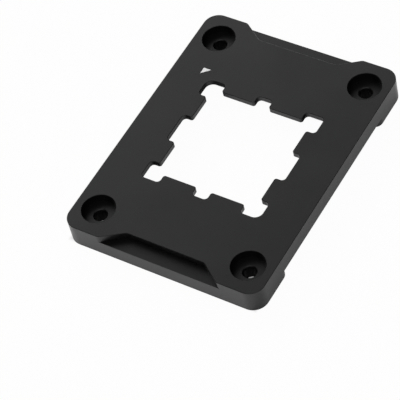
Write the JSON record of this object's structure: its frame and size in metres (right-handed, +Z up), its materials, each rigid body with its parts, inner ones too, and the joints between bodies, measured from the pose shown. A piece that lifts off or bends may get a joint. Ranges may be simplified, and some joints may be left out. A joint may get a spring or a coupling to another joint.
{
  "type": "cpu socket retention frame",
  "caption": "Flat rectangular clamping frame for a processor socket: a notched square window with pressing tabs, counterbored screw holes at the corners and a shallow pocket in each end.",
  "frame": {"origin": "middle of the frame's outline, on the plane of the underside that it stands on", "axes": "+X across the frame, +Y along its length, +Z up out of the top face; seen from above with +Y away, the index mark is in the far left corner of the window's surround"},
  "size_m": [0.0522, 0.0702, 0.0065],
  "materials": {
    "anodised_plate": "bead blasted and anodised black, dull satin",
    "index_mark": "laser mark, bare pale metal, dull"
  },
  "bodies": {
    "root": {"retention_frame": "anodised_plate"}
  },
  "joints": []
}
